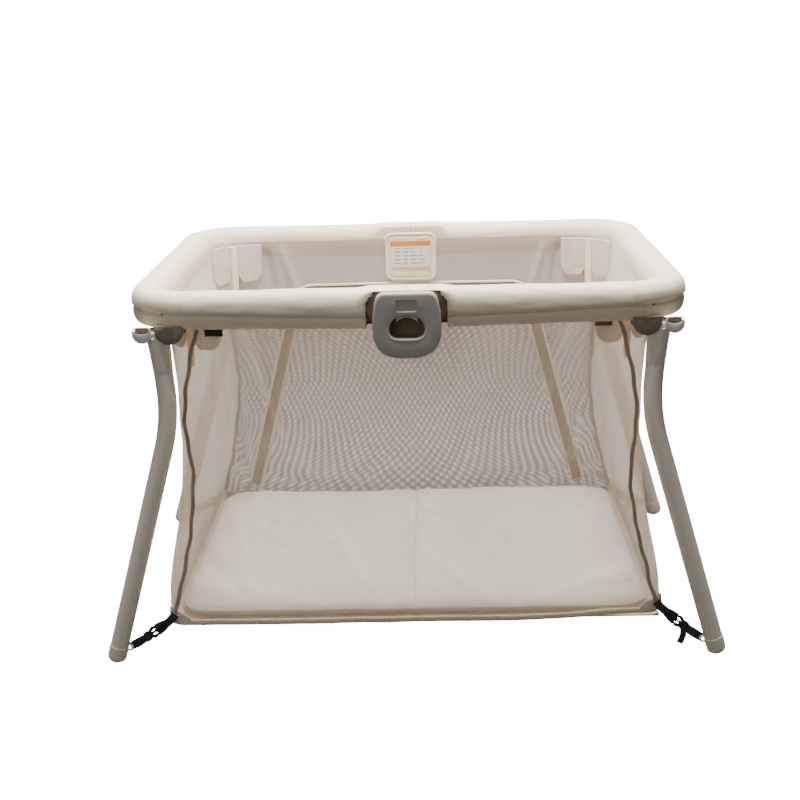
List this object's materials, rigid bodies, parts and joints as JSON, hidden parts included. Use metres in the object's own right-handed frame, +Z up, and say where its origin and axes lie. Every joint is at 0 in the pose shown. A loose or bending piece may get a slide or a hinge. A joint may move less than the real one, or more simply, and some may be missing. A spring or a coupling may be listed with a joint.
{
  "type": "playpen",
  "caption": "Travel playpen: padded folding top rail on bent splayed legs, see-through mesh bag, mattress and zip door.",
  "frame": {"origin": "on the floor, under the middle of the playpen", "axes": "+X along the long side to the right, +Y to the back, where the zip door is, +Z up"},
  "size_m": [1.1852, 0.804, 0.721],
  "materials": {
    "rail_sleeve": "smooth knit sleeve, cream",
    "bag_mesh": "see-through knitted mesh, beige",
    "bag_cloth": "woven cloth, cream",
    "mattress_cover": "quilted cloth, light cream",
    "seam_binding": "folded binding tape, dark beige",
    "webbing": "ribbed webbing, black",
    "buckle_plastic": "moulded plastic, black",
    "leg_paint": "satin powder coat, warm grey",
    "collar_plastic": "moulded plastic, warm grey",
    "hub_plastic": "moulded plastic, dark brown",
    "plate_plastic": "satin moulded plastic, mid grey",
    "lever_plastic": "satin moulded plastic, light grey",
    "steel": "zinc plated steel",
    "zip_metal": "coated zip slider"
  },
  "bodies": {
    "centre_hubs": {"hub_front": "hub_plastic", "hub_rear": "hub_plastic", "handle_plate_front": "plate_plastic", "handle_plate_rear": "plate_plastic", "fold_pins": "steel", "plate_screws": "steel", "trigger_spring_front": "steel", "trigger_spring_rear": "steel", "sleeve_bridges": "rail_sleeve", "label_patch": "bag_cloth"},
    "trigger_front": {"trigger_front": "lever_plastic"},
    "trigger_rear": {"trigger_rear": "lever_plastic"},
    "zip_slider": {"zip_slider": "zip_metal"},
    "rail_half_left": {"wall_front_left": "bag_mesh", "wall_rear_left": "bag_mesh", "wall_end_left": "bag_mesh", "bag_trim_left": "bag_cloth", "rail_tube_left": "steel", "rail_sleeve_left": "rail_sleeve", "rail_tongues_left": "hub_plastic", "hinge_housings_left": "hub_plastic", "leg_pins_left": "steel"},
    "rail_half_right": {"wall_front_right": "bag_mesh", "wall_rear_right": "bag_mesh", "wall_end_right": "bag_mesh", "bag_trim_right": "bag_cloth", "rail_tube_right": "steel", "rail_sleeve_right": "rail_sleeve", "rail_tongues_right": "hub_plastic", "hinge_housings_right": "hub_plastic", "leg_pins_right": "steel"},
    "floor_left": {"bag_floor_left": "bag_cloth", "mattress_left": "mattress_cover", "bag_straps_left": "webbing", "buckle_sockets_left": "buckle_plastic"},
    "floor_right": {"bag_floor_right": "bag_cloth", "mattress_right": "mattress_cover", "bag_straps_right": "webbing", "buckle_sockets_right": "buckle_plastic"},
    "leg_fl": {"leg_tube_fl": "leg_paint", "leg_collar_fl": "collar_plastic", "foot_cap_fl": "collar_plastic", "foot_strap_fl": "webbing"},
    "release_lever_fl": {"release_lever_fl": "lever_plastic"},
    "leg_rl": {"leg_tube_rl": "leg_paint", "leg_collar_rl": "collar_plastic", "foot_cap_rl": "collar_plastic", "foot_strap_rl": "webbing"},
    "release_lever_rl": {"release_lever_rl": "lever_plastic"},
    "leg_fr": {"leg_tube_fr": "leg_paint", "leg_collar_fr": "collar_plastic", "foot_cap_fr": "collar_plastic", "foot_strap_fr": "webbing"},
    "release_lever_fr": {"release_lever_fr": "lever_plastic"},
    "leg_rr": {"leg_tube_rr": "leg_paint", "leg_collar_rr": "collar_plastic", "foot_cap_rr": "collar_plastic", "foot_strap_rr": "webbing"},
    "release_lever_rr": {"release_lever_rr": "lever_plastic"}
  },
  "joints": [
    {"name": "fold_left", "type": "hinge", "parent": "centre_hubs", "child": "rail_half_left", "pos_m": [-0.04, 0, 0.688], "axis": [0, 1, 0], "range_deg": [0, 88], "deforming": ["wall_front_left", "wall_rear_left", "wall_end_left", "bag_trim_left"]},
    {"name": "fold_right", "type": "hinge", "parent": "centre_hubs", "child": "rail_half_right", "pos_m": [0.04, 0, 0.688], "axis": [0, 1, 0], "range_deg": [-88, 0], "deforming": ["wall_front_right", "wall_rear_right", "wall_end_right", "bag_trim_right"]},
    {"name": "floor_gather_left", "type": "slide", "parent": "rail_half_left", "child": "floor_left", "axis": [0, 0, 1], "range_m": [0, 0.5]},
    {"name": "floor_gather_right", "type": "slide", "parent": "rail_half_right", "child": "floor_right", "axis": [0, 0, 1], "range_m": [0, 0.5]},
    {"name": "leg_fold_fl", "type": "hinge", "parent": "rail_half_left", "child": "leg_fl", "pos_m": [-0.424, -0.362, 0.656], "axis": [0, -1, 0], "range_deg": [0, 86], "deforming": ["foot_strap_fl"]},
    {"name": "lever_squeeze_fl", "type": "hinge", "parent": "leg_fl", "child": "release_lever_fl", "pos_m": [-0.4536, -0.362, 0.64], "axis": [0, -1, 0], "range_deg": [0, 12], "stiffness_Nm_per_rad": 0.6, "springref_deg": -11.46},
    {"name": "leg_fold_rl", "type": "hinge", "parent": "rail_half_left", "child": "leg_rl", "pos_m": [-0.424, 0.362, 0.656], "axis": [0, -1, 0], "range_deg": [0, 86], "deforming": ["foot_strap_rl"]},
    {"name": "lever_squeeze_rl", "type": "hinge", "parent": "leg_rl", "child": "release_lever_rl", "pos_m": [-0.4536, 0.362, 0.64], "axis": [0, -1, 0], "range_deg": [0, 12], "stiffness_Nm_per_rad": 0.6, "springref_deg": -11.46},
    {"name": "leg_fold_fr", "type": "hinge", "parent": "rail_half_right", "child": "leg_fr", "pos_m": [0.424, -0.362, 0.656], "axis": [0, 1, 0], "range_deg": [0, 86], "deforming": ["foot_strap_fr"]},
    {"name": "lever_squeeze_fr", "type": "hinge", "parent": "leg_fr", "child": "release_lever_fr", "pos_m": [0.4536, -0.362, 0.64], "axis": [0, 1, 0], "range_deg": [0, 12], "stiffness_Nm_per_rad": 0.6, "springref_deg": -11.46},
    {"name": "leg_fold_rr", "type": "hinge", "parent": "rail_half_right", "child": "leg_rr", "pos_m": [0.424, 0.362, 0.656], "axis": [0, 1, 0], "range_deg": [0, 86], "deforming": ["foot_strap_rr"]},
    {"name": "lever_squeeze_rr", "type": "hinge", "parent": "leg_rr", "child": "release_lever_rr", "pos_m": [0.4536, 0.362, 0.64], "axis": [0, 1, 0], "range_deg": [0, 12], "stiffness_Nm_per_rad": 0.6, "springref_deg": -11.46},
    {"name": "trigger_squeeze_front", "type": "slide", "parent": "centre_hubs", "child": "trigger_front", "axis": [0, 0, 1], "range_m": [0, 0.006], "stiffness_N_per_m": 600, "springref_m": -0.002, "deforming": ["trigger_spring_front"]},
    {"name": "trigger_squeeze_rear", "type": "slide", "parent": "centre_hubs", "child": "trigger_rear", "axis": [0, 0, 1], "range_m": [0, 0.006], "stiffness_N_per_m": 600, "springref_m": -0.002, "deforming": ["trigger_spring_rear"]},
    {"name": "zip_slide", "type": "slide", "parent": "rail_half_left", "child": "zip_slider", "axis": [0.2568, 0, 0.9665], "range_m": [0, 0.38]}
  ],
  "couplings": [
    {"joint": "fold_right", "follows": "fold_left", "ratio": -1},
    {"joint": "floor_gather_left", "follows": "fold_left", "m_per_rad": 0.32554},
    {"joint": "floor_gather_right", "follows": "fold_left", "m_per_rad": 0.32554}
  ]
}
